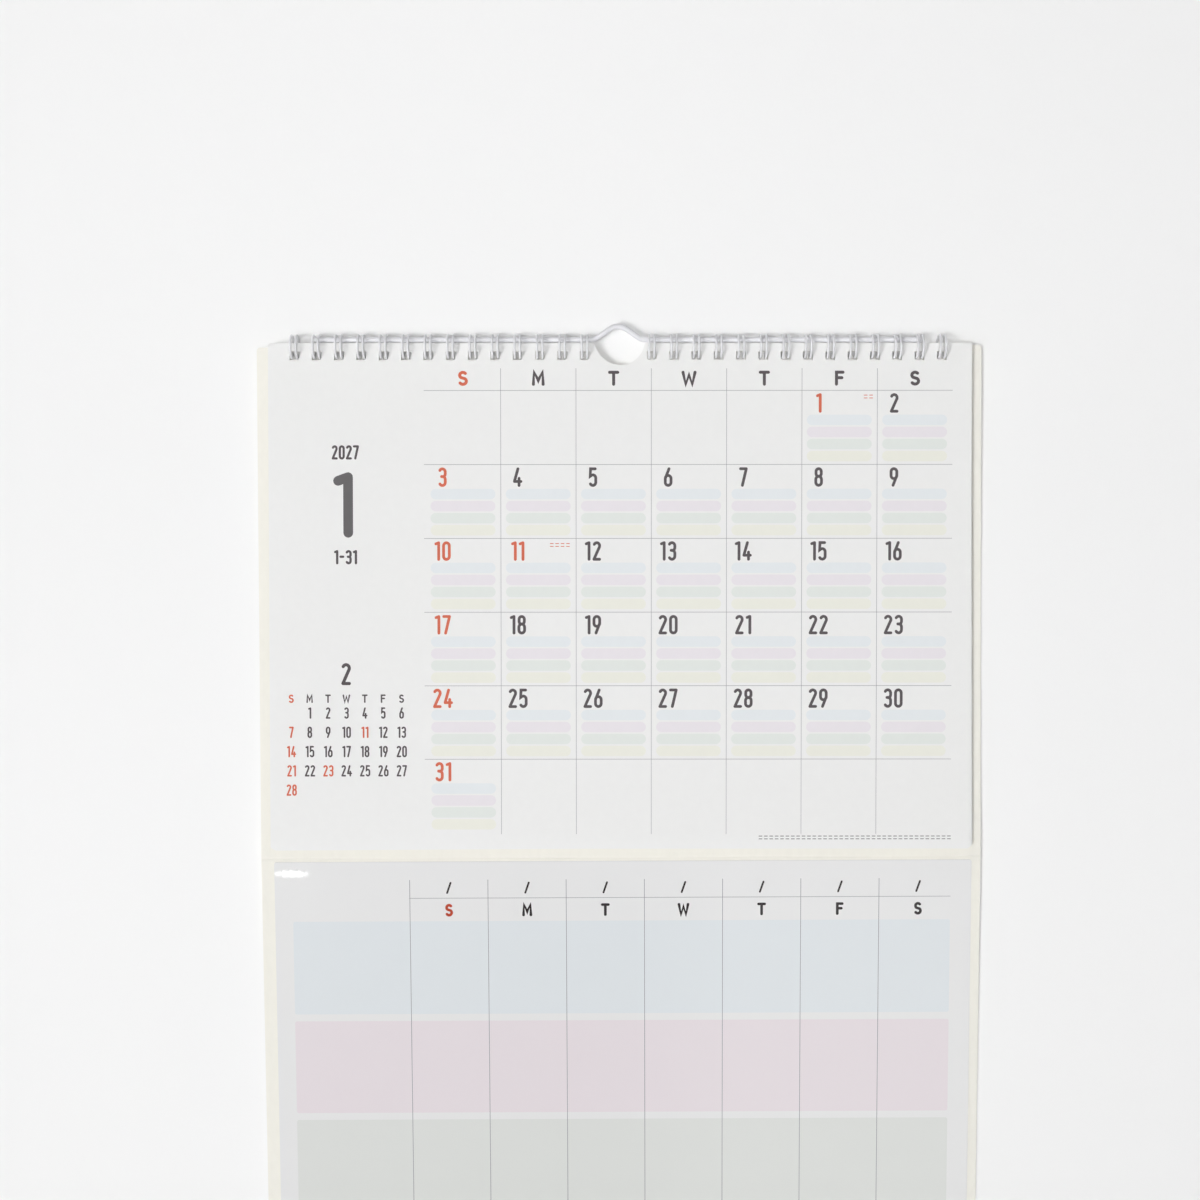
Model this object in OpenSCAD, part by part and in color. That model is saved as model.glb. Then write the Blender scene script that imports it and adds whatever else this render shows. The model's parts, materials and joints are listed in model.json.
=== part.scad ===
// Wall calendar: month sheets on a twin-loop wire binding, in front of a folded card
// whose lower panel carries a whiteboard sheet. It hangs by a wire with an arch.
// The front faces -Y, the wall is behind at +Y, and the origin is the point inside
// the top of the arch where the calendar bears on its hook.

/* [Month sheets] */
// Width of a month sheet
page_w = 267; // [220:1:320]
// Height of a month sheet
page_h = 192.5; // [120:0.5:300]
// Thickness of all the month sheets together
stack_t = 1.8; // [0.6:0.1:2.4]
// Number of steps in which the edges of the stack fan out
fan_steps = 6; // [2:1:8]
// How far the most crooked sheet is turned on the loops, in degrees
fan_turn = 0.35; // [0:0.05:0.6]
// Corner radius of a month sheet
page_corner_r = 1; // [0.4:0.1:4]
// How far the sheets and the card hang to the right of the loops' middle
sheet_shift = 0.7; // [-1.5:0.1:1.5]

/* [Card] */
// How far the card stands out beside the month sheets
card_border = 4.4; // [1:0.1:20]
// Sideways place of the card, from the middle of the month sheets
card_shift = -0.3; // [-1:0.1:1]
// From the bottom edge of the month sheets down to the fold
fold_drop = 3.9; // [1:0.1:20]
// Height of the panel that carries the whiteboard sheet
lower_h = 195.5; // [80:0.5:300]
// Thickness of the card
card_t = 0.6; // [0.4:0.1:1.2]
// Corner radius of the card
card_corner_r = 1.5; // [0.5:0.1:6]
// How far the card is turned on the loops, in degrees
card_turn = 0.2; // [0:0.05:0.4]
// Forward lean of the upper panel from the wall, in degrees
upper_lean = 1.5; // [1:0.1:5]
// Radius of the scored line along the fold
score_r = 0.8; // [0.4:0.1:1.5]
// Depth of the scored line
score_depth = 0.12; // [0.05:0.01:0.2]

/* [Whiteboard sheet] */
// Thickness of the whiteboard sheet
board_t = 0.3; // [0.2:0.05:0.8]
// Card left bare on each side of the whiteboard sheet
board_border = 4.2; // [2:0.1:20]
// Card left bare below the whiteboard sheet
board_foot = 3.3; // [1:0.1:20]
// Distance from the fold to the top of the whiteboard sheet
board_drop = 1.2; // [1:0.1:10]
// Sideways place of the whiteboard sheet, from the middle of the card
board_shift = 0.7; // [-2:0.1:2]
// Corner radius of the whiteboard sheet
board_corner_r = 0.8; // [0.5:0.1:8]

/* [Wire binding] */
// Distance from one loop to the next
loop_pitch = 8.467; // [8:0.01:9]
// Least distance from the middle of the last loop to the side of the sheets
loop_margin = 8; // [4:0.5:20]
// Loops left out at the thumb cut
loops_left_out = 2; // [2:1:4]
// Diameter of the binding wire
wire_d = 0.9; // [0.7:0.05:1]
// Radius of a closed loop, to the middle of its wire
loop_r = 4.2; // [4:0.1:6]
// Distance between the middles of the two wires of a loop
wire_spacing = 2.05; // [1.9:0.05:2.4]
// Bend radius of the wire where it turns along the spine
spine_bend_r = 1; // [0.8:0.05:1.3]
// Gap between the closed tip of a loop and the spine, measured along the loop
seam_gap = 2.35; // [2.3:0.05:3]
// Length of the cut wire end past the last bend
wire_end = 0.6; // [0.2:0.1:1.5]

/* [Hanger wire] */
// Diameter of the coated hanger wire
hanger_d = 2; // [1.6:0.1:2.2]
// From each end of the hanger wire out to the middle of the last loop
hanger_inset = 7.8; // [2:0.1:40]
// Height of the arch above the straight runs
arch_rise = 5; // [4:0.1:9]
// Slope of the arch's flanks, in degrees
arch_slope = 35; // [25:1:50]
// Bend radius at the top of the arch
crown_r = 5.5; // [4:0.1:7]
// Bend radius at the feet of the arch
foot_r = 4.5; // [3:0.1:6]

/* [Thumb cut] */
// Radius of the round cut at the middle of the top edge
cut_r = 9.5; // [7:0.1:11]
// Height of the cut's centre above the top edge of the sheets
cut_rise = 1.2; // [0:0.1:3]

/* [Clearances] */
// Beside the two wires in each punched hole
hole_side_gap = 0.375; // [0.35:0.005:0.6]
// From the wire up to the top edge of its hole
hole_top_gap = 1.95; // [1:0.05:2.5]
// From the wire down to the bottom edge of its hole
hole_bottom_gap = 0.55; // [0.4:0.05:1.2]
// Between the hanger wire and the inside of the loops
hanger_gap = 0.1; // [0.05:0.05:0.3]
// Between the top edge of the sheets and the hanger wire
sheet_gap = 0.35; // [0.3:0.05:0.8]
// Between the turning corner of the stack and the hanger wire
turn_gap = 0.2; // [0.1:0.05:0.25]
// Between the corner of the stack, as it swings back under the loops, and the card
swing_gap = 0.2; // [0.1:0.05:0.5]
// From the top edge of the sheets down to the top edge of the card
card_drop = 0.9; // [0:0.1:1.5]

/* [Hidden] */
$fn = 64;
// Overrun that keeps a cut clear of the faces it opens
over = 1;
// How far pieces of one solid reach into each other where they are joined
bite = 0.04;
// A bend is drawn this much thicker than the wire, so that it takes in the ends it joins
swell = 0.02;

// Heights of the hanger's straight runs and of the loops' centre line
straight_z = hanger_d / 2 - arch_rise;
loop_z = straight_z + hanger_d / 2 + hanger_gap + wire_d / 2 - loop_r;
// Clear radius round the loops' centre, below the hanger wire
free_r = loop_r - wire_d / 2 - hanger_gap - hanger_d;

// Places measured from the loops' centre line, in the plane of the leaning sheets
page_top = free_r - sheet_gap;
stack_front = -sqrt(pow(free_r - turn_gap, 2) - pow(page_top, 2));
stack_back = stack_front + stack_t;
card_front = norm([stack_back, page_top]) + swing_gap;
card_back = card_front + card_t;
card_top = page_top - card_drop;
fold_z = page_top - page_h - fold_drop;
hole_top = -loop_r + wire_d / 2 + hole_top_gap;
hole_bottom = -loop_r - wire_d / 2 - hole_bottom_gap;
hole_w = wire_spacing + wire_d + 2 * hole_side_gap;

// Widths that follow the month sheets, and the loops that fit across them
card_w = page_w + 2 * card_border;
board_w = card_w - 2 * board_border;
board_h = lower_h - board_drop - board_foot;
first_loop = (loops_left_out + 1) / 2 * loop_pitch;
loops_per_side = floor((page_w / 2 - loop_margin - first_loop) / loop_pitch) + 1;
last_loop = first_loop + (loops_per_side - 1) * loop_pitch;

// The loops rest on the wall, and the foot of the card comes back to it
wall_y = loop_r + wire_d / 2;
fold_y = card_back * cos(upper_lean) + fold_z * sin(upper_lean);
lower_lean = asin((wall_y - fold_y) / lower_h);
fold_bend = upper_lean + lower_lean;

// Angles round a loop, from its lowest point towards the wall
seam_angle = seam_gap / loop_r * 180 / PI;
tip_angle = 90 - 0.75 * seam_angle;
spine_angle = tip_angle + seam_angle;

// Rounds and placing that several pieces share

// Outline of a sheet that hangs from the middle of its top edge
module sheet_outline(w, h, r) {
    translate([-w / 2 + r, -h])
        square([w - 2 * r, h]);
    translate([-w / 2, -h + r])
        square([w, h - 2 * r]);
    for (x = [-w / 2 + r, w / 2 - r], z = [-h + r, -r])
        translate([x, z])
            circle(r = r);
}

// Sheet of thickness t whose front face lies at y = 0
module sheet(w, h, r, t) {
    rotate([90, 0, 0])
        translate([0, 0, -t])
            linear_extrude(t)
                sheet_outline(w, h, r);
}

// Places something that is drawn round the loops' centre line and leans forward
module on_loops() {
    translate([0, 0, loop_z])
        rotate([-upper_lean, 0, 0])
            children();
}

// Places something at each loop: side is -1 or 1
module at_loops(side) {
    for (i = [0 : loops_per_side - 1])
        translate([side * (first_loop + i * loop_pitch), 0, 0])
            children();
}

// Punched holes and the thumb cut, through everything from y0 to y1
module punching(y0, y1) {
    for (side = [-1, 1])
        at_loops(side)
            translate([-hole_w / 2, y0 - over, hole_bottom])
                cube([hole_w, y1 - y0 + 2 * over, hole_top - hole_bottom]);
    translate([sheet_shift, y1 + over, page_top + cut_rise])
        rotate([90, 0, 0])
            cylinder(r = cut_r, h = y1 - y0 + 2 * over);
}

// Month sheets, one solid whose edges fan out a little

// How far sheet number i of the fan is turned, between 0 and fan_turn
function turn_of(i) = fan_turn * sin(180 * i / (fan_steps - 1));

module page_block() {
    step_t = stack_t / fan_steps;
    color([0.93, 0.93, 0.93])
    on_loops()
        difference() {
            for (i = [0 : fan_steps - 1])
                translate([sheet_shift, stack_front + i * step_t, page_top])
                    rotate([0, -turn_of(i), 0])
                        sheet(page_w, page_h, page_corner_r, step_t + (i < fan_steps - 1 ? bite : 0));
            punching(stack_front, stack_back);
            // no turned sheet stands above the front one
            translate([-page_w, stack_front - over, page_top])
                cube([2 * page_w, stack_t + 2 * over, page_h]);
        }
}

// Card, folded once across its middle

// Round cut that takes off a square corner: x and z point into the card.
// Its centre sits a little nearer the corner than its radius, so that it crosses both
// edges of the card instead of only touching them.
module corner_cut(x, z) {
    centre = card_corner_r - bite;
    rotate([90, 0, 0])
        linear_extrude(4 * card_t, center = true)
            difference() {
                translate([x > 0 ? -over : -card_corner_r, z > 0 ? -over : -card_corner_r])
                    square(card_corner_r + over);
                translate([x * centre, z * centre])
                    circle(r = card_corner_r);
            }
}

// Moves to the fold and turns to the lower panel: its front face is at y = 0
module on_lower_panel() {
    translate([0, card_back, fold_z])
        rotate([fold_bend, 0, 0])
            translate([0, -card_t, 0])
                children();
}

// Side view of the folded card, as y and z
function card_profile() =
    let (
        crest = [card_front, fold_z - card_t * tan(fold_bend / 2)],
        foot = [card_back, fold_z] + lower_h * [sin(fold_bend), -cos(fold_bend)]
    )
    [
        [card_back, card_top],
        [card_front, card_top],
        crest,
        foot - card_t * [cos(fold_bend), sin(fold_bend)],
        foot,
        [card_back, fold_z]
    ];

module card_blank() {
    crest = card_profile()[2];
    difference() {
        translate([-card_w / 2, 0, 0])
            rotate([90, 0, 90])
                linear_extrude(card_w)
                    polygon(card_profile());
        // scored line along the crest
        translate([-card_w / 2 - over, crest[0] + score_depth - score_r, crest[1]])
            rotate([0, 90, 0])
                cylinder(r = score_r, h = card_w + 2 * over);
        for (side = [-1, 1]) {
            translate([side * card_w / 2, card_back, card_top])
                corner_cut(-side, -1);
            on_lower_panel()
                translate([side * card_w / 2, card_t, -lower_h])
                    corner_cut(-side, 1);
        }
    }
}

// Turns the card and what lies on it by card_turn, about the middle of its top edge
module card_place() {
    on_loops()
        translate([sheet_shift + card_shift, 0, card_top])
            rotate([0, -card_turn, 0])
                translate([0, 0, -card_top])
                    children();
}

module backing_card() {
    color([0.94, 0.92, 0.88])
    difference() {
        card_place()
            card_blank();
        on_loops()
            punching(card_front, card_back);
    }
}

// Whiteboard sheet, face to face on the card's lower panel

module whiteboard_sheet() {
    color([0.89, 0.89, 0.9])
    card_place()
        on_lower_panel()
            translate([board_shift, -board_t, -board_drop])
                sheet(board_w, board_h, board_corner_r, board_t);
}

// Twin-loop binding: one wire bent into pairs of loops that close at the back

// Places something at an angle round the loop, with x outward and y along the loop
module round_loop(angle) {
    rotate([0, 90, 0])
        rotate([0, 0, angle])
            translate([loop_r, 0, 0])
                children();
}

// Part of a ring of wire of diameter d, through angle a from the x axis towards the y axis
module wire_arc(r, a, d) {
    rotate_extrude(angle = a)
        translate([r, 0])
            circle(d = d);
}

// Bend that takes in the ends of the wires it joins
module wire_bend(r, a, d) {
    reach = bite / r * 180 / PI;
    rotate([0, 0, -reach])
        wire_arc(r, a + 2 * reach, d + swell);
}

// The two round wires of a loop and the closed tip that joins them
module loop() {
    for (x = [-wire_spacing / 2, wire_spacing / 2])
        translate([x, 0, 0])
            rotate([0, 90, 0])
                rotate([0, 0, spine_angle])
                    wire_arc(loop_r, 360 - seam_angle, wire_d);
    round_loop(tip_angle)
        rotate([0, -90, 0])
            wire_bend(wire_spacing / 2, 180, wire_d);
}

// Quarter bend from a loop's wire to the spine, towards side
module spine_bend(side) {
    translate([side * wire_spacing / 2, 0, 0])
        round_loop(spine_angle)
            mirror([0, 0, side > 0 ? 0 : 1])
                translate([0, 0, spine_bend_r])
                    rotate([0, 90, 0])
                        rotate([0, 0, -90])
                            wire_bend(spine_bend_r, 90, wire_d);
}

// Straight wire along the spine from x0, with length l
module spine_run(x0, l) {
    translate([x0, 0, 0])
        round_loop(spine_angle)
            translate([0, -spine_bend_r, 0])
                cylinder(d = wire_d, h = l);
}

module wire_comb() {
    bend_x = wire_spacing / 2 + spine_bend_r;
    last_x = last_loop - first_loop;
    for (i = [0 : loops_per_side - 1])
        translate([i * loop_pitch, 0, 0]) {
            loop();
            for (side = [-1, 1])
                spine_bend(side);
        }
    for (i = [0 : loops_per_side - 2])
        spine_run(i * loop_pitch + bend_x, loop_pitch - 2 * bend_x);
    spine_run(-bend_x - wire_end, wire_end);
    spine_run(last_x + bend_x, wire_end);
}

// Half of the binding: side is -1 or 1
module binding(side) {
    color([0.86, 0.88, 0.91])
    translate([side > 0 ? first_loop : -last_loop, 0, loop_z])
        wire_comb();
}

module left_wire_binding() {
    binding(-1);
}

module right_wire_binding() {
    binding(1);
}

// Hanger wire: two straight runs inside the loops, joined by an arch

// Bend of the hanger wire round a centre, from angle a0 through a, seen from the front
module hanger_bend(centre, r, a0, a) {
    translate([centre[0], 0, centre[1]])
        rotate([90, 0, 0])
            rotate([0, 0, a0])
                wire_bend(r, a, hanger_d);
}

module hanger_wire() {
    s = arch_slope;
    bends_rise = (crown_r + foot_r) * (1 - cos(s));
    flank_l = (arch_rise - bends_rise) / sin(s);
    crown = [0, hanger_d / 2 - crown_r];
    flank = crown + crown_r * [sin(s), cos(s)];
    foot = flank + flank_l * [cos(s), -sin(s)] + foot_r * [sin(s), cos(s)];
    color([0.88, 0.89, 0.92]) {
        hanger_bend(crown, crown_r, 90 - s, 2 * s);
        for (side = [0, 1])
            mirror([side, 0, 0]) {
                translate([flank[0], 0, flank[1]])
                    rotate([0, 90 + s, 0])
                        cylinder(d = hanger_d, h = flank_l);
                hanger_bend(foot, foot_r, 270 - s, s);
                translate([foot[0], 0, straight_z])
                    rotate([0, 90, 0])
                        cylinder(d = hanger_d, h = last_loop - hanger_inset - foot[0]);
            }
    }
}

backing_card();
whiteboard_sheet();
page_block();
left_wire_binding();
right_wire_binding();
hanger_wire();
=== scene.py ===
"""Looks of a wire-bound wall calendar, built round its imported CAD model.

The month sheets, their print and the print on the whiteboard sheet are made here as meshes.
The card, the whiteboard sheet and the wires keep their CAD meshes and get materials.
Lengths are in millimetres until a mesh is finished, and every place comes from the sizes below.
"""

import json
import math

import bmesh
import bpy
from mathutils import Matrix, Vector


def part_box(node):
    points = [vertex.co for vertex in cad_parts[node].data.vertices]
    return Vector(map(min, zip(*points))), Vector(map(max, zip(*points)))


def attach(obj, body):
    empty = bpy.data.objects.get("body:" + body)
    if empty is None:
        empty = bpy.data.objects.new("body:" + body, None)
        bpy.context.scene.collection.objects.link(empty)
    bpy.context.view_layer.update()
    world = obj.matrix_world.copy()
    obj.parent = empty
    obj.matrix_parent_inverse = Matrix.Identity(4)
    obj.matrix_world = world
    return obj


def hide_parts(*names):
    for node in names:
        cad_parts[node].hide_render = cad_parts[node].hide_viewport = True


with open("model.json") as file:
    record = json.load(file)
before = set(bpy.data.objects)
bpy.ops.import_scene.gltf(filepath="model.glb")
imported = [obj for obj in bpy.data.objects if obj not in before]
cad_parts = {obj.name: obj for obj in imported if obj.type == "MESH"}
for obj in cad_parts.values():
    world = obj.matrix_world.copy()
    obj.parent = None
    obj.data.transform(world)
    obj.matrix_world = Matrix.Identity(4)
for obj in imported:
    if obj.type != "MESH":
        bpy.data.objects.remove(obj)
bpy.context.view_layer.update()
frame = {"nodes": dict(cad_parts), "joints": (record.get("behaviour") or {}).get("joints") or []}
MM = 0.001

# ---- Sizes shared with the CAD model, in millimetres and degrees ----

LOOP_Z = frame["joints"][0]["pos_m"][2] / MM  # centre line of the binding's loops
WALL_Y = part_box("left_wire_binding")[1].y / MM  # the loops' backs touch the wall
UPPER_LEAN = 1.5  # forward lean of the sheets and of the card's upper panel
FOLD_BEND = 3.6156
CARD_TURN = 0.2
CARD_SHIFT = -0.3
SHEET_SHIFT = 0.7
PAGE_W, PAGE_H = 267.0, 192.5
PAGE_TOP = 1.3
STACK_FRONT = -0.6423
STACK_T = 1.8
PAGE_CORNER = 1.0
FAN_TURN = 0.35
CARD_T = 0.6
CARD_TOP = PAGE_TOP - 0.9
CARD_BACK = 2.5408
FOLD_Z = PAGE_TOP - PAGE_H - 3.9
BOARD_T = 0.3
LOOP_PITCH = 8.467
LOOPS_PER_SIDE = 14
FIRST_LOOP = 12.7005
HOLE_W, HOLE_TOP, HOLE_BOTTOM = 3.7, -1.8, -5.2
CUT_R, CUT_RISE = 9.5, 1.2

# ---- Photograph: the frame, and places in it as sheet millimetres ----

PHOTO_PX = 1200
FOCAL_PX = 1846.77
SENSOR_MM = 36.0
CAMERA_AT = Vector((-7.27, -705.0, -64.94))
CAMERA_PITCH, CAMERA_YAW, CAMERA_ROLL = -3.085, 0.0287, -0.0331

SHEET_PX, SHEET_PX_TALL = 0.3808, 0.3800  # millimetres on the month sheets for one pixel of the photograph
SHEET_PX_X, SHEET_MM_X = 500.5, -45.12  # the first inner line of the upper grid
SHEET_PX_Z, SHEET_MM_Z = 389.3, -17.93  # the top line of the upper grid
BOARD_PX, BOARD_PX_TALL = 0.3841, 0.3963
BOARD_PX_X, BOARD_MM_X = 409.33, -81.157  # the first line of the lower grid
BOARD_PX_Z, BOARD_MM_Z = 921.0, -24.82  # the top of the first band


def sheet_x(px):
    """Distance from the middle of the month sheet, for a column of the photograph."""
    return SHEET_MM_X + (px - SHEET_PX_X) * SHEET_PX


def sheet_z(px):
    """Height from the top edge of the month sheet, for a row of the photograph."""
    return SHEET_MM_Z - (px - SHEET_PX_Z) * SHEET_PX_TALL


def board_x(px):
    """Distance from the middle of the card's lower panel."""
    return BOARD_MM_X + (px - BOARD_PX_X) * BOARD_PX


def board_z(px):
    """Height from the fold, along the card's lower panel."""
    return BOARD_MM_Z - (px - BOARD_PX_Z) * BOARD_PX_TALL


# ---- Places ----


def turned(degrees, axis):
    return Matrix.Rotation(math.radians(degrees), 4, axis)


def moved(x=0.0, y=0.0, z=0.0):
    return Matrix.Translation((x, y, z))


ON_LOOPS = moved(z=LOOP_Z) @ turned(-UPPER_LEAN, "X")
ON_FRONT_SHEET = ON_LOOPS @ moved(SHEET_SHIFT, STACK_FRONT, PAGE_TOP)
ON_CARD = ON_LOOPS @ moved(SHEET_SHIFT + CARD_SHIFT, 0, CARD_TOP) @ turned(-CARD_TURN, "Y") @ moved(z=-CARD_TOP)
ON_BOARD = ON_CARD @ moved(0, CARD_BACK, FOLD_Z) @ turned(FOLD_BEND, "X") @ moved(y=-CARD_T - BOARD_T)

# ---- Materials ----


def srgb(r, g, b):
    """Colour as the eye sees it on a screen, 0 to 255, as the linear colour of a shader."""
    return tuple(c / 12.92 if c <= 0.04045 else ((c + 0.055) / 1.055) ** 2.4 for c in (r / 255, g / 255, b / 255))


class Nodes:
    """A material's node tree with short calls for the nodes used here."""

    def __init__(self, name, color, roughness, **sockets):
        self.material = bpy.data.materials.new(name)
        self.material.use_nodes = True
        self.tree = self.material.node_tree
        self.shader = self.tree.nodes["Principled BSDF"]
        self.color = color
        self.shader.inputs["Base Color"].default_value = (*color, 1)
        self.shader.inputs["Roughness"].default_value = roughness
        for socket, value in sockets.items():
            self.shader.inputs[socket.replace("_", " ")].default_value = value
        self.place = self.tree.nodes.new("ShaderNodeTexCoord").outputs["Object"]

    def link(self, start, end):
        self.tree.links.new(start, end)

    def noise(self, size_mm, detail=3.0, stretch=(1, 1, 1)):
        """Noise whose lumps are about size_mm across."""
        mapping = self.tree.nodes.new("ShaderNodeMapping")
        mapping.inputs["Scale"].default_value = [s / (size_mm * MM) for s in stretch]
        self.link(self.place, mapping.inputs["Vector"])
        node = self.tree.nodes.new("ShaderNodeTexNoise")
        node.inputs["Scale"].default_value = 1.0
        node.inputs["Detail"].default_value = detail
        self.link(mapping.outputs["Vector"], node.inputs["Vector"])
        return node.outputs["Fac"]

    def spread(self, value, low, high):
        """Maps the middle of a noise to the range from low to high."""
        node = self.tree.nodes.new("ShaderNodeMapRange")
        for socket, number in (("From Min", 0.3), ("From Max", 0.7), ("To Min", low), ("To Max", high)):
            node.inputs[socket].default_value = number
        self.link(value, node.inputs["Value"])
        return node.outputs["Result"]

    def tint(self, value, change):
        """Lets the base colour vary with value by a share of its brightness."""
        mix = self.tree.nodes.new("ShaderNodeMix")
        mix.data_type = "RGBA"
        mix.inputs["A"].default_value = (*[min(1, c * (1 - change)) for c in self.color], 1)
        mix.inputs["B"].default_value = (*[min(1, c * (1 + change)) for c in self.color], 1)
        self.link(self.spread(value, 0, 1), mix.inputs["Factor"])
        self.link(mix.outputs["Result"], self.shader.inputs["Base Color"])

    def bump(self, value, height_mm, strength=1.0):
        """Adds relief of height_mm on top of the relief that is there."""
        node = self.tree.nodes.new("ShaderNodeBump")
        node.inputs["Strength"].default_value = strength
        node.inputs["Distance"].default_value = height_mm * MM
        self.link(value, node.inputs["Height"])
        if self.shader.inputs["Normal"].is_linked:
            self.link(self.shader.inputs["Normal"].links[0].from_socket, node.inputs["Normal"])
        self.link(node.outputs["Normal"], self.shader.inputs["Normal"])

    def wrinkles(self, at, half, length_mm, height_mm):
        """Raises small wrinkles that face left, in an oval round the place at, with half sizes in half."""
        mapping = self.tree.nodes.new("ShaderNodeMapping")
        mapping.vector_type = "TEXTURE"
        mapping.inputs["Location"].default_value = at * MM
        mapping.inputs["Scale"].default_value = Vector(half) * MM
        self.link(self.place, mapping.inputs["Vector"])
        oval = self.tree.nodes.new("ShaderNodeTexGradient")
        oval.gradient_type = "SPHERICAL"
        self.link(mapping.outputs["Vector"], oval.inputs["Vector"])
        inside = self.tree.nodes.new("ShaderNodeMapRange")
        inside.inputs["From Max"].default_value = 0.45
        self.link(oval.outputs["Fac"], inside.inputs["Value"])
        wave = self.tree.nodes.new("ShaderNodeTexWave")
        wave.wave_profile = "SAW"
        for socket, number in (("Scale", math.pi / (10 * length_mm * MM)), ("Distortion", 2.5), ("Detail", 2.0),
                               ("Detail Scale", 1.5)):
            wave.inputs[socket].default_value = number
        self.link(self.place, wave.inputs["Vector"])
        product = self.tree.nodes.new("ShaderNodeMath")
        product.operation = "MULTIPLY"
        self.link(wave.outputs["Fac"], product.inputs[0])
        self.link(inside.outputs["Result"], product.inputs[1])
        self.bump(product.outputs["Value"], height_mm)


def paper(name, color, roughness=0.85, mottle=0.006):
    """Uncoated paper: faint clouding and a fine tooth."""
    m = Nodes(name, color, roughness, Specular_IOR_Level=0.25)
    m.tint(m.noise(3.0, 6), mottle)
    m.bump(m.noise(0.35, 3), 0.012, 0.5)
    return m.material


def cardboard(name, color):
    """Ivory card: longer fibres, slightly uneven."""
    m = Nodes(name, color, 0.8, Specular_IOR_Level=0.25)
    m.tint(m.noise(2.0, 7, (1, 1, 0.5)), 0.012)
    m.bump(m.noise(0.5, 4), 0.02, 0.6)
    return m.material


WRINKLED_AT = (-125.7, 0, -5.75)  # on the board, at its top left corner
WRINKLED_HALF = (7.9, 20, 2.1)
WRINKLE_LENGTH, WRINKLE_HEIGHT = 3.0, 0.36


def film(name, color, wrinkled=None):
    """Glossy dry-wipe film over print: nearly smooth, with the slow waves of a laminate."""
    m = Nodes(name, color, 0.14, Specular_IOR_Level=0.5)
    m.tint(m.noise(14.0, 3), 0.003)
    m.bump(m.noise(34.0, 2, (1, 1, 0.6)), 0.04)
    m.bump(m.noise(1.2, 2), 0.0006)
    if wrinkled:
        m.wrinkles(ON_BOARD @ Vector(wrinkled), WRINKLED_HALF, WRINKLE_LENGTH, WRINKLE_HEIGHT)
    return m.material


def coated_wire(name, color, roughness):
    """White coated steel wire: satin, slightly uneven coat."""
    m = Nodes(name, color, roughness, Coat_Weight=0.15, Coat_Roughness=0.3)
    m.tint(m.noise(1.5, 3), 0.02)
    m.bump(m.noise(0.25, 2), 0.004, 0.5)
    return m.material


PAPER = paper("sheet_paper", srgb(236, 236, 235))
DARK_INK = paper("dark_ink", srgb(88, 82, 84), 0.75, 0.03)
BIG_INK = paper("month_figure_ink", srgb(104, 102, 103), 0.75, 0.03)
RED_INK = paper("red_ink", srgb(209, 106, 80), 0.75, 0.02)
LINE_INK = paper("line_ink", srgb(158, 156, 160), 0.8)
BLUE_INK = paper("blue_ink", srgb(228, 232, 234), 0.85)
PINK_INK = paper("pink_ink", srgb(231, 227, 231), 0.85)
GREEN_INK = paper("green_ink", srgb(226, 230, 226), 0.85)
YELLOW_INK = paper("yellow_ink", srgb(234, 234, 225), 0.85)
CARD = cardboard("ivory_card", srgb(237, 235, 227))
FILM = film("board_film", srgb(229, 229, 229), WRINKLED_AT)
FILM_BLUE = film("film_blue", srgb(221, 226, 229))
FILM_PINK = film("film_pink", srgb(227, 219, 223))
FILM_GREEN = film("film_green", srgb(219, 221, 218))
FILM_YELLOW = film("film_yellow", srgb(226, 224, 213))
FILM_DARK = film("film_dark", srgb(50, 43, 45))
FILM_RED = film("film_red", srgb(178, 66, 42))
FILM_LINE = film("film_line", srgb(150, 150, 154))
LOOP_WIRE = coated_wire("loop_wire_coat", srgb(228, 228, 231), 0.4)
HANGER_WIRE = coated_wire("hanger_wire_coat", srgb(229, 229, 233), 0.5)

# ---- Mesh helpers: outlines are lists of (x, z), and fronts face -Y ----

INK_T = 0.04  # thickness of a plate of print


def arc(x, z, r, start, end, steps=10):
    """Points on a circle from angle start to angle end, in degrees, both ends included."""
    return [
        (x + r * math.cos(math.radians(start + (end - start) * i / steps)),
         z + r * math.sin(math.radians(start + (end - start) * i / steps)))
        for i in range(steps + 1)
    ]


def rounded(corners, r, steps=5):
    """Outline with its corners rounded to radius r; a corner given as (x, z, 0) stays sharp."""
    outline = []
    count = len(corners)
    for i, corner in enumerate(corners):
        here = Vector(corner[:2])
        radius = corner[2] if len(corner) > 2 else r
        if radius == 0:
            outline.append(tuple(here))
            continue
        back = (Vector(corners[i - 1][:2]) - here).normalized()
        ahead = (Vector(corners[(i + 1) % count][:2]) - here).normalized()
        half = back.angle(ahead) / 2
        centre = here + (back + ahead).normalized() * radius / math.sin(half)
        start, end = (here + d * radius / math.tan(half) - centre for d in (back, ahead))
        turn = start.angle_signed(end)
        for k in range(steps + 1):
            p = centre + Matrix.Rotation(-turn * k / steps, 2) @ start
            outline.append(tuple(p))
    return outline


def box_outline(x0, z0, x1, z1, r=0.0):
    corners = [(x0, z0), (x1, z0), (x1, z1), (x0, z1)]
    return rounded(corners, r) if r else corners


def fill_outline(bm, outline, holes, y):
    """Flat face set from an outline with holes, at depth y, facing -Y."""
    edges = []
    for loop in [outline, *holes]:
        verts = [bm.verts.new((x, y, z)) for x, z in loop]
        edges += [bm.edges.new((verts[i], verts[i - 1])) for i in range(len(verts))]
    made = bmesh.ops.triangle_fill(bm, use_beauty=True, use_dissolve=False, edges=edges, normal=(0, -1, 0))
    faces = [g for g in made["geom"] if isinstance(g, bmesh.types.BMFace)]
    for face in faces:
        face.normal_update()
        if face.normal.y > 0:
            face.normal_flip()
    return faces


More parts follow.
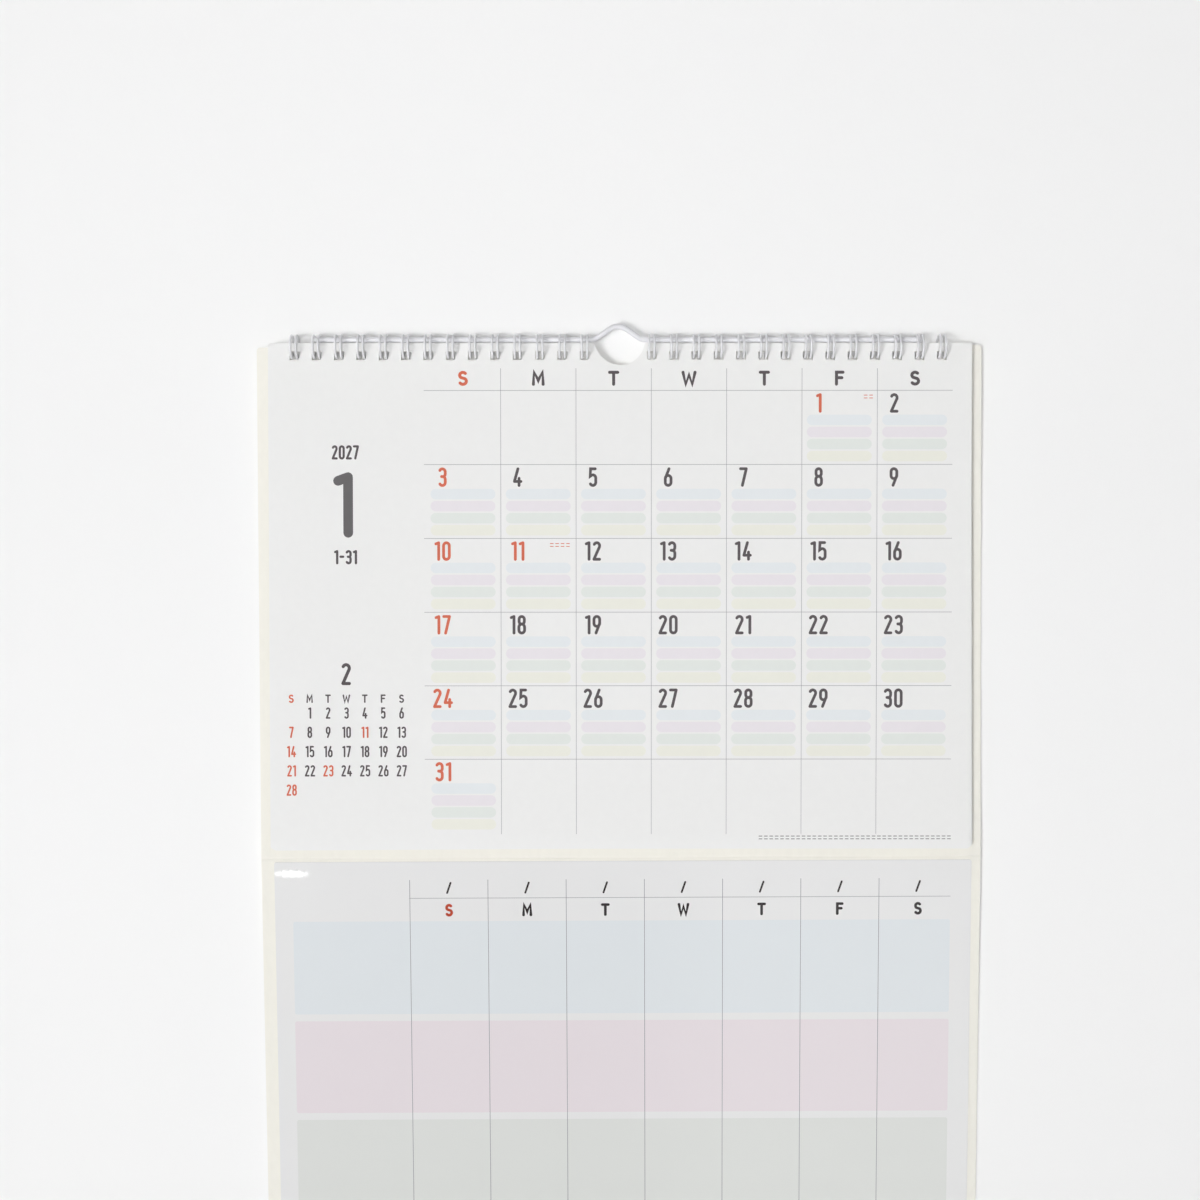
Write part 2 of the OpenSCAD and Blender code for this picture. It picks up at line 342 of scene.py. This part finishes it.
def thicken(bm, faces, t):
    """Turns flat faces at the front into a closed plate of thickness t."""
    made = bmesh.ops.extrude_face_region(bm, geom=faces, use_keep_orig=True)
    backs = [g for g in made["geom"] if isinstance(g, bmesh.types.BMVert)]
    bmesh.ops.translate(bm, verts=backs, vec=(0, t, 0))


def plate(bm, outline, holes, y, t):
    thicken(bm, fill_outline(bm, outline, holes, y), t)


def piece(name, bm, place, material, body, replaced=()):
    """Finishes a mesh in metres, in its place in the row frame, riding on its body."""
    bmesh.ops.transform(bm, matrix=Matrix.Scale(MM, 4) @ place, verts=bm.verts)
    bmesh.ops.recalc_face_normals(bm, faces=bm.faces)
    mesh = bpy.data.meshes.new(name)
    bm.to_mesh(mesh)
    bm.free()
    mesh.materials.append(material)
    obj = bpy.data.objects.new(name, mesh)
    bpy.context.scene.collection.objects.link(obj)
    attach(obj, body)
    if replaced:
        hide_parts(*replaced)
    return obj


# ---- Stroke figures: paths in units of the figure's height, without the stroke's own width ----

STROKE = 0.165  # width of a stroke, as a share of the height
TALL = 1 - STROKE
WIDE = 0.31  # width of most figures
BOW = WIDE / 2  # radius of their bows
GAP = 0.10  # between two figures


def loop_path(x, z0, z1, r):
    """Closed upright oval from z0 to z1 with half width r, round x."""
    return arc(x, z1 - r, r, 0, 180) + arc(x, z0 + r, r, 180, 360) + [(x + r, z1 - r)]


MID = 0.45  # height of the middle of a figure
FIGURES = {
    "0": (WIDE, [loop_path(BOW, 0, TALL, BOW)]),
    "1": (0.15, [[(0, TALL - 0.055), (0.15, TALL)], [(0.15, TALL), (0.15, 0)]]),
    "2": (WIDE, [arc(BOW, TALL - BOW, BOW, 152, -22) + [(0, 0)], [(0, 0), (WIDE, 0)]]),
    "3": (WIDE, [
        arc(BOW, TALL - BOW, BOW, 150, 0) + arc(BOW, MID + 0.135, BOW, 0, -75, 5) + [(0.11, MID)],
        [(0.11, MID)] + arc(BOW, MID - 0.15, BOW, 75, 0, 5) + arc(BOW, BOW, BOW, 0, -150),
    ]),
    "4": (WIDE + 0.04, [[(0.19, TALL), (0, 0.2)], [(0, 0.2), (WIDE + 0.04, 0.2)], [(0.25, 0.36), (0.25, 0)]]),
    "5": (WIDE, [[(WIDE - 0.03, TALL), (0.03, TALL), (0.01, MID + 0.01)]
                 + arc(BOW, MID - BOW + 0.08, BOW, 118, 0, 6) + arc(BOW, BOW, BOW, 0, -150)]),
    "6": (WIDE, [loop_path(BOW, 0, 0.5, BOW), [(0.2, TALL), (0.01, 0.37)]]),
    "7": (WIDE, [[(0, TALL), (WIDE, TALL)], [(WIDE, TALL), (0.1, 0)]]),
    "8": (WIDE, [loop_path(BOW, 0, MID, BOW), loop_path(BOW, MID, TALL, BOW * 0.92)]),
    "9": (WIDE, [loop_path(BOW, TALL - 0.5, TALL, BOW), [(WIDE - 0.2, 0), (WIDE - 0.01, TALL - 0.37)]]),
    "-": (0.2, [[(0, MID), (0.2, MID)]]),
    "/": (0.4, [[(0.4, TALL), (0, 0)]]),
    "S": (0.42, [arc(0.21, TALL - 0.2, 0.2, 40, 235, 8) + arc(0.21, 0.215, 0.215, 55, -145, 8)]),
    "M": (0.6, [[(0, 0), (0.04, TALL), (0.3, 0.25), (0.56, TALL), (0.6, 0)]]),
    "T": (0.5, [[(0, TALL), (0.5, TALL)], [(0.25, TALL), (0.25, 0)]]),
    "W": (0.74, [[(0, TALL), (0.17, 0), (0.37, TALL * 0.8), (0.57, 0), (0.74, TALL)]]),
    "F": (0.4, [[(0.4, TALL), (0, TALL), (0, 0)], [(0, MID), (0.33, MID)]]),
}


def stroke_faces(bm, path, width, y):
    """Flat ribbon along a path, with mitred joins and round ends, as faces at depth y."""
    points = [Vector(p) for i, p in enumerate(path) if i == 0 or (Vector(p) - Vector(path[i - 1])).length > 1e-6]
    closed = (points[0] - points[-1]).length < 1e-6
    r = width / 2
    left, right = [], []
    last = len(points) - 1
    for i, p in enumerate(points):
        before = points[i - 1] if i else (points[-2] if closed else None)
        after = points[i + 1] if i < last else (points[1] if closed else None)
        a = (p - before).normalized() if before else (after - p).normalized()
        b = (after - p).normalized() if after else a
        side = Vector((-(a + b).y, (a + b).x)).normalized()
        reach = r / max(0.45, side.dot(Vector((-a.y, a.x))))
        left.append(p + side * reach)
        right.append(p - side * reach)
    verts = [(bm.verts.new((l.x, y, l.y)), bm.verts.new((q.x, y, q.y))) for l, q in zip(left, right)]
    faces = [bm.faces.new((verts[i][0], verts[i][1], verts[i + 1][1], verts[i + 1][0])) for i in range(last)]
    if not closed:
        for (v_left, v_right), end, inner in ((verts[0], points[0], points[1]), (verts[-1], points[-1], points[-2])):
            out = (end - inner).normalized()
            start = math.degrees(math.atan2(out.y, out.x))
            cap = [bm.verts.new((x, y, z)) for x, z in arc(end.x, end.y, r, start - 90, start + 90, 8)[1:-1]]
            first, second = v_right, v_left
            if (Vector((v_right.co.x, v_right.co.z)) - end).dot(Vector((out.y, -out.x))) < 0:
                first, second = second, first
            faces.append(bm.faces.new([first, *cap, second]))
    return faces


def write(bm, text, x, z, height, stroke, squeeze, y):
    """Writes figures centred at x, z; each stroke lies a hair higher than the one before."""
    wide = height * squeeze
    at = x - wide * (sum(FIGURES[c][0] + STROKE for c in text) + GAP * (len(text) - 1)) / 2
    level = 0
    for c in text:
        width, paths = FIGURES[c]
        for path in paths:
            placed = [(at + wide * (STROKE / 2 + px), z + height * (pz - TALL / 2)) for px, pz in path]
            lift = y - 0.001 * (level % 3)
            thicken(bm, stroke_faces(bm, placed, stroke * height, lift), INK_T)
            level += 1
        at += wide * (width + STROKE + GAP)


def line(bm, x0, z0, x1, z1, width, y):
    """Thin printed line between two points, upright or level."""
    r = width / 2
    if x0 == x1:
        plate(bm, box_outline(x0 - r, z0, x0 + r, z1), [], y, INK_T)
    else:
        plate(bm, box_outline(x0, z0 - r, x1, z0 + r), [], y, INK_T)


# ---- Month sheets ----

SHEETS = 13
SHEET_T = 0.125


def sheet_outline(turn):
    """Outline of a sheet turned on the loops, in the loops' frame, cut level at the top."""
    c, s = math.cos(math.radians(turn)), math.sin(math.radians(turn))

    def put(x, z):
        return (SHEET_SHIFT + x * c - z * s, PAGE_TOP + x * s + z * c)

    half = PAGE_W / 2
    left_top, left_foot, right_foot = put(-half, 0), put(-half, -PAGE_H), put(half, -PAGE_H)
    right_top = (put(half, 0)[0], PAGE_TOP)
    cut_z = PAGE_TOP + CUT_RISE
    reach = math.sqrt(CUT_R**2 - CUT_RISE**2)
    slant = -CUT_RISE * s + math.sqrt((CUT_RISE * s) ** 2 + reach**2)
    start = math.degrees(math.atan2(-slant * s - CUT_RISE, -slant * c)) % 360
    end = 360 - math.degrees(math.asin(CUT_RISE / CUT_R))
    cut = [(x, z, 0) for x, z in arc(SHEET_SHIFT, cut_z, CUT_R, start, end, 40)]
    return rounded([left_foot, right_foot, right_top, *reversed(cut), left_top], PAGE_CORNER)


def punched_holes():
    holes = []
    for side in (-1, 1):
        for i in range(LOOPS_PER_SIDE):
            x = side * (FIRST_LOOP + i * LOOP_PITCH)
            holes.append(box_outline(x - HOLE_W / 2, HOLE_BOTTOM, x + HOLE_W / 2, HOLE_TOP, 0.25))
    return holes


def month_sheets():
    bm = bmesh.new()
    for i in range(SHEETS):
        turn = FAN_TURN * math.sin(math.pi * i / (SHEETS - 1)) if i else 0
        plate(bm, sheet_outline(turn), punched_holes(), STACK_FRONT + i * STACK_T / SHEETS, SHEET_T)
    return piece("month_sheets", bm, ON_LOOPS, PAPER, "sheets", ("page_block",))


month_sheets()

# ---- Print on the front month sheet ----

INK_UP = 0.015  # how far print stands proud of the paper
UPRIGHT_UP = INK_UP + 0.002  # upright lines lie on the level ones
BAR_UP = INK_UP - 0.004  # and note bars a little under the figures
GRID_X0 = sheet_x(425)
COLUMN = 28.589
ROW = 28.056
GRID_X1 = GRID_X0 + 7 * COLUMN
GRID_Z0 = sheet_z(389.3)
GRID_Z1 = sheet_z(834)
GRID_OVERHANG = 0.6  # the level lines start this far to the left of the first column
UPRIGHT_TOP = sheet_z(367.3)
LINE_W = 0.18
DAY_X, DAY_DROP = 6.4, 4.78  # middle of a day's number, from its cell's top left corner
NEXT_PX_X, NEXT_PX_Z = 289.9, 711.9  # first number of the next month's small calendar
NEXT_STEP_X, NEXT_STEP_Z = 18.4, 19.38
WEEKDAYS = "SMTWTFS"
FIRST_WEEKDAY = 5  # the month starts in the sixth column
DAYS = 31
RED_DAYS = (1, 3, 10, 11, 17, 24, 31)
NEXT_FIRST_WEEKDAY, NEXT_DAYS = 1, 28
NEXT_RED_DAYS = (7, 11, 14, 21, 23, 28)

# Height of figures, their stroke as a share of it, and how far they are squeezed sideways
DAY_STYLE = (7.55, 0.144, 0.93)
NEXT_STYLE = (4.45, 0.143, 0.84)
WEEKDAY_STYLE = (5.4, 0.215, 1.14)
NEXT_WEEKDAY_STYLE = (3.15, 0.19, 1.0)
MONTH_STYLE = (25.3, 0.146, 1.0)
WEEKDAY_PX_Z, NEXT_WEEKDAY_PX_Z = 377.2, 697.5
MONTH_AT = (sheet_x(342.7), sheet_z(503.4))
CAPTIONS = (  # text, column and row of the photograph, style
    ("2027", 345.1, 450.9, (5.45, 0.157, 0.86)),
    ("1-31", 344.9, 555.6, (5.45, 0.165, 0.9)),
    ("2", 344.9, 672.8, (8.6, 0.142, 0.92)),
)
HOLIDAY_NOTES = ((862, 873, 395.5), (549, 572, 543.5))  # first and last column, row of the photograph
FOOT_NOTE = (758, 953, 837.5)
NOTE_THICK, NOTE_DASH, NOTE_STEP, NOTE_APART = 0.75, 3.6, 5.4, 2.8  # in pixels of the photograph


def cell(day, first):
    """Row and column of a day."""
    at = day - 1 + first
    return at // 7, at % 7


def sheet_print(name, material, draw):
    bm = bmesh.new()
    draw(bm)
    return piece(name, bm, ON_FRONT_SHEET, material, "sheets")


def draw_grid(bm):
    for k in range(6):
        line(bm, GRID_X0 - GRID_OVERHANG, GRID_Z0 - k * ROW, GRID_X1, GRID_Z0 - k * ROW, LINE_W, -INK_UP)
        x = GRID_X0 + (k + 1) * COLUMN
        line(bm, x, GRID_Z1, x, UPRIGHT_TOP, LINE_W, -UPRIGHT_UP)


def day_place(day):
    row, column = cell(day, FIRST_WEEKDAY)
    return GRID_X0 + column * COLUMN + DAY_X, GRID_Z0 - row * ROW - DAY_DROP


def next_place(column, row):
    """Middle of a figure of the small calendar of the next month."""
    return sheet_x(NEXT_PX_X + column * NEXT_STEP_X), sheet_z(NEXT_PX_Z + row * NEXT_STEP_Z)


def draw_figures(bm, red):
    for day in range(1, DAYS + 1):
        if (day in RED_DAYS) == red:
            write(bm, str(day), *day_place(day), *DAY_STYLE, -INK_UP)
    for day in range(1, NEXT_DAYS + 1):
        if (day in NEXT_RED_DAYS) == red:
            row, column = cell(day, NEXT_FIRST_WEEKDAY)
            write(bm, str(day), *next_place(column, row), *NEXT_STYLE, -INK_UP)
    for column, initial in enumerate(WEEKDAYS):
        if (column == 0) == red:
            middle = GRID_X0 + (column + 0.5) * COLUMN
            write(bm, initial, middle, sheet_z(WEEKDAY_PX_Z), *WEEKDAY_STYLE, -INK_UP)
            write(bm, initial, next_place(column, 0)[0], sheet_z(NEXT_WEEKDAY_PX_Z), *NEXT_WEEKDAY_STYLE, -INK_UP)
    if red:
        for note in HOLIDAY_NOTES:
            dashes(bm, *note)
    else:
        dashes(bm, *FOOT_NOTE)
        for text, px, py, style in CAPTIONS:
            write(bm, text, sheet_x(px), sheet_z(py), *style, -INK_UP)


def dashes(bm, px0, px1, py):
    """Row of plain double dashes in the place of small print."""
    x = px0
    while x + NOTE_DASH <= px1:
        for middle in (py - NOTE_APART / 2, py + NOTE_APART / 2):
            plate(bm, box_outline(sheet_x(x), sheet_z(middle + NOTE_THICK / 2),
                                  sheet_x(x + NOTE_DASH), sheet_z(middle - NOTE_THICK / 2)), [], -INK_UP, INK_T)
        x += NOTE_STEP


BAR_W, BAR_H, BAR_STEP = 24.7, 4.0, 4.57
BAR_X, BAR_Z = 1.85, -9.2  # top left corner of the first bar, from its cell's
BAR_CORNER = BAR_H / 2 - 0.01
NOTE_BARS = (("blue", BLUE_INK), ("pink", PINK_INK), ("green", GREEN_INK), ("yellow", YELLOW_INK))


def draw_bars(k):
    def draw(bm):
        for day in range(1, DAYS + 1):
            row, column = cell(day, FIRST_WEEKDAY)
            x = GRID_X0 + column * COLUMN + BAR_X
            z = GRID_Z0 - row * ROW + BAR_Z - k * BAR_STEP
            plate(bm, box_outline(x, z - BAR_H, x + BAR_W, z, BAR_CORNER), [], -BAR_UP, INK_T)
    return draw


sheet_print("month_grid", LINE_INK, draw_grid)
sheet_print("dark_figures", DARK_INK, lambda bm: draw_figures(bm, False))
sheet_print("red_figures", RED_INK, lambda bm: draw_figures(bm, True))
sheet_print("month_figure", BIG_INK, lambda bm: write(bm, "1", *MONTH_AT, *MONTH_STYLE, -INK_UP))
for k, (colour, ink) in enumerate(NOTE_BARS):
    sheet_print(f"{colour}_note_bars", ink, draw_bars(k))

# ---- Print on the whiteboard sheet ----

BAND_UP, MARK_UP, LEVEL_UP = 0.008, 0.014, 0.016  # how far the board's prints stand proud of the film
WEEK_X0 = board_x(409.33)
WEEK_COLUMN = 30.027
BAND_X0, BAND_X1 = board_x(292.3), 126.4
BAND_TOP, BAND_STEP, BAND_H, BAND_CORNER = -24.46, 39.25, 36.5, 0.8
BANDS = (("blue", FILM_BLUE), ("pink", FILM_PINK), ("green", FILM_GREEN), ("yellow", FILM_YELLOW))
WEEK_LINE_TOP = board_z(879.2)
WEEK_LINE_FOOT = BAND_TOP - 3 * BAND_STEP - BAND_H
WEEK_LINE_W = 0.25
LEVEL_Z, LEVEL_W = board_z(897.3), 0.19
LEVEL_X0, LEVEL_X1 = WEEK_X0 - 0.3, WEEK_X0 + 6.915 * WEEK_COLUMN
INITIAL_Z, INITIAL_STYLE = board_z(909.2), (4.7, 0.225, 1.0)
SLASH_Z, SLASH_STYLE = board_z(887.2), (4.7, 0.16, 0.72)


def board_print(name, material, draw):
    bm = bmesh.new()
    draw(bm)
    return piece(name, bm, ON_BOARD, material, "backing")


def draw_band(k):
    def draw(bm):
        top = BAND_TOP - k * BAND_STEP
        plate(bm, box_outline(BAND_X0, top - BAND_H, BAND_X1, top, BAND_CORNER), [], -BAND_UP, INK_T)
    return draw


def draw_week_lines(bm):
    for k in range(7):
        x = WEEK_X0 + k * WEEK_COLUMN
        line(bm, x, WEEK_LINE_FOOT, x, WEEK_LINE_TOP, WEEK_LINE_W, -MARK_UP)
    line(bm, LEVEL_X0, LEVEL_Z, LEVEL_X1, LEVEL_Z, LEVEL_W, -LEVEL_UP)


def draw_week_marks(bm, red):
    for k, initial in enumerate(WEEKDAYS):
        x = WEEK_X0 + (k + 0.5) * WEEK_COLUMN
        if (k == 0) == red:
            write(bm, initial, x, INITIAL_Z, *INITIAL_STYLE, -MARK_UP)
        if not red:
            write(bm, "/", x, SLASH_Z, *SLASH_STYLE, -MARK_UP)


for k, (colour, material) in enumerate(BANDS):
    board_print(f"{colour}_band", material, draw_band(k))
board_print("week_lines", FILM_LINE, draw_week_lines)
board_print("week_marks", FILM_DARK, lambda bm: draw_week_marks(bm, False))
board_print("red_week_mark", FILM_RED, lambda bm: draw_week_marks(bm, True))

# ---- Materials of the CAD pieces ----

for node, material in (
    ("backing_card", CARD),
    ("whiteboard_sheet", FILM),
    ("left_wire_binding", LOOP_WIRE),
    ("right_wire_binding", LOOP_WIRE),
    ("hanger_wire", HANGER_WIRE),
):
    mesh = frame["nodes"][node].data
    mesh.materials.clear()
    mesh.materials.append(material)

# ---- Wall, floor, lights and camera ----

WALL_GAP = 0.05  # the backdrop stands this far behind the loops
CARD_GAP = 0.3  # and this far behind the card, at the fold
LEAN_Z, NEAR_Z = -14.0, -60.0  # between these heights it comes up to the card
FOLD_REACH = 90.0  # its bends start and end this far from the corner
WALL_HALF = 1600.0
FLOOR_Z = -3400.0
FLOOR_REACH = 2600.0


def one_sided(name, color):
    """Matt stage surface that isn't seen from behind and lets the back light through, for looks at the back."""
    m = Nodes(name, color, 0.9, Specular_IOR_Level=0.1)
    m.tint(m.noise(120.0, 2), 0.002)
    tree = m.tree
    geometry = tree.nodes.new("ShaderNodeNewGeometry")
    clear = tree.nodes.new("ShaderNodeBsdfTransparent")
    mix = tree.nodes.new("ShaderNodeMixShader")
    path = tree.nodes.new("ShaderNodeLightPath")
    either = tree.nodes.new("ShaderNodeMath")
    either.operation = "MAXIMUM"
    m.link(geometry.outputs["Backfacing"], either.inputs[0])
    m.link(path.outputs["Is Shadow Ray"], either.inputs[1])
    m.link(either.outputs["Value"], mix.inputs["Fac"])
    m.link(m.shader.outputs["BSDF"], mix.inputs[1])
    m.link(clear.outputs["BSDF"], mix.inputs[2])
    m.link(mix.outputs["Shader"], tree.nodes["Material Output"].inputs["Surface"])
    return m.material


def stage_plane(name, corners, material):
    mesh = bpy.data.meshes.new(name)
    mesh.from_pydata([Vector(c) * MM for c in corners], [], [(0, 1, 2, 3)])
    mesh.materials.append(material)
    obj = bpy.data.objects.new(name, mesh)
    bpy.context.scene.collection.objects.link(obj)
    return obj


def softened(points, reach, steps=8):
    """Replaces the inner corners of a line by parabolas that start and end at a distance of reach."""
    line_points = [points[0]]
    for before, here, after in zip(points, points[1:], points[2:]):
        a = here + (before - here).normalized() * min(reach, (before - here).length / 2)
        b = here + (after - here).normalized() * min(reach, (after - here).length / 2)
        for t in (i / steps for i in range(steps + 1)):
            line_points.append((1 - t) ** 2 * a + 2 * t * (1 - t) * here + t * t * b)
    return line_points + [points[-1]]


def backdrop(material):
    """Cloth backdrop that hangs down behind the loops and lies against the folded card's back."""
    wall_y = WALL_Y + WALL_GAP
    below_loops = ON_LOOPS @ Vector((0, CARD_BACK + CARD_GAP, NEAR_Z))
    behind_fold = ON_LOOPS @ Vector((0, CARD_BACK + CARD_GAP, FOLD_Z))
    foot = Vector((wall_y, Vector(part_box("backing_card")[0]).z / MM))
    below_card = foot + (foot - behind_fold.yz).normalized() * FOLD_REACH
    corners = ((wall_y, WALL_HALF), (wall_y, LEAN_Z), below_loops.yz, behind_fold.yz, below_card,
               (below_card.x, FLOOR_Z))
    profile = softened([Vector(corner) for corner in corners], FOLD_REACH)
    verts = [Vector((x, y, z)) * MM for y, z in profile for x in (-WALL_HALF, WALL_HALF)]
    mesh = bpy.data.meshes.new("wall")
    mesh.from_pydata(verts, [], [(i + 2, i + 3, i + 1, i) for i in range(0, len(verts) - 2, 2)])
    mesh.shade_smooth()
    mesh.materials.append(material)
    obj = bpy.data.objects.new("wall", mesh)
    bpy.context.scene.collection.objects.link(obj)


WALL_PAINT = one_sided("wall_paint", srgb(246, 246, 246))
backdrop(WALL_PAINT)
stage_plane("floor", [(-FLOOR_REACH, -FLOOR_REACH, FLOOR_Z), (FLOOR_REACH, -FLOOR_REACH, FLOOR_Z),
                      (FLOOR_REACH, FLOOR_REACH, FLOOR_Z), (-FLOOR_REACH, FLOOR_REACH, FLOOR_Z)], WALL_PAINT)


def area_light(name, at, aim, wide, tall, power, spread=180):
    data = bpy.data.lights.new(name, "AREA")
    data.shape = "RECTANGLE"
    data.size, data.size_y = wide, tall
    data.energy = power
    data.spread = math.radians(spread)
    obj = bpy.data.objects.new(name, data)
    bpy.context.scene.collection.objects.link(obj)
    obj.location = at
    obj.rotation_mode = "QUATERNION"
    obj.rotation_quaternion = (Vector(aim) - Vector(at)).to_track_quat("-Z", "Y")
    return obj


# Lamps, in metres and watts: the photograph's light comes from the lower left
area_light("key", (-2.48, -4.57, -1.15), (0.0, 0.0, -0.15), 2.18, 2.0, 170)
area_light("fill", (-0.15, -4.5, -0.1), (0.0, 0.0, 0.0), 0.6, 0.6, 0.9, 24)
area_light("soft_glow", (0.9, -4.2, -1.9), (0.0, 0.0, -0.3), 1.4, 1.3, 5)
area_light("back_light", (0.6, 4.5, 0.6), (0.0, 0.0, -0.2), 2.0, 2.0, 60)

WORLD_STRENGTH = 0.22

world = bpy.data.worlds.new("studio")
world.use_nodes = True
world.node_tree.nodes["Background"].inputs["Color"].default_value = (1, 1, 1, 1)
world.node_tree.nodes["Background"].inputs["Strength"].default_value = WORLD_STRENGTH
bpy.context.scene.world = world


def place_camera():
    """Sets the camera that the photograph was taken with, as its lines measure."""
    pitch, yaw, roll = (math.radians(a) for a in (CAMERA_PITCH, CAMERA_YAW, CAMERA_ROLL))
    ahead = Vector((math.sin(yaw) * math.cos(pitch), math.cos(yaw) * math.cos(pitch), math.sin(pitch)))
    level = Vector((math.cos(yaw), -math.sin(yaw), 0))
    upright = level.cross(ahead)
    right = math.cos(roll) * level + math.sin(roll) * upright
    up = math.cos(roll) * upright - math.sin(roll) * level
    data = bpy.data.cameras.new("camera")
    data.sensor_width = SENSOR_MM
    data.lens = FOCAL_PX / PHOTO_PX * SENSOR_MM
    data.clip_start, data.clip_end = 0.01, 20
    obj = bpy.data.objects.new("camera", data)
    bpy.context.scene.collection.objects.link(obj)
    axes = Matrix((right, up, -ahead)).transposed()
    obj.matrix_world = Matrix.Translation(CAMERA_AT * MM) @ axes.to_4x4()
    bpy.context.scene.camera = obj


place_camera()
bpy.context.scene.view_settings.view_transform = "Standard"
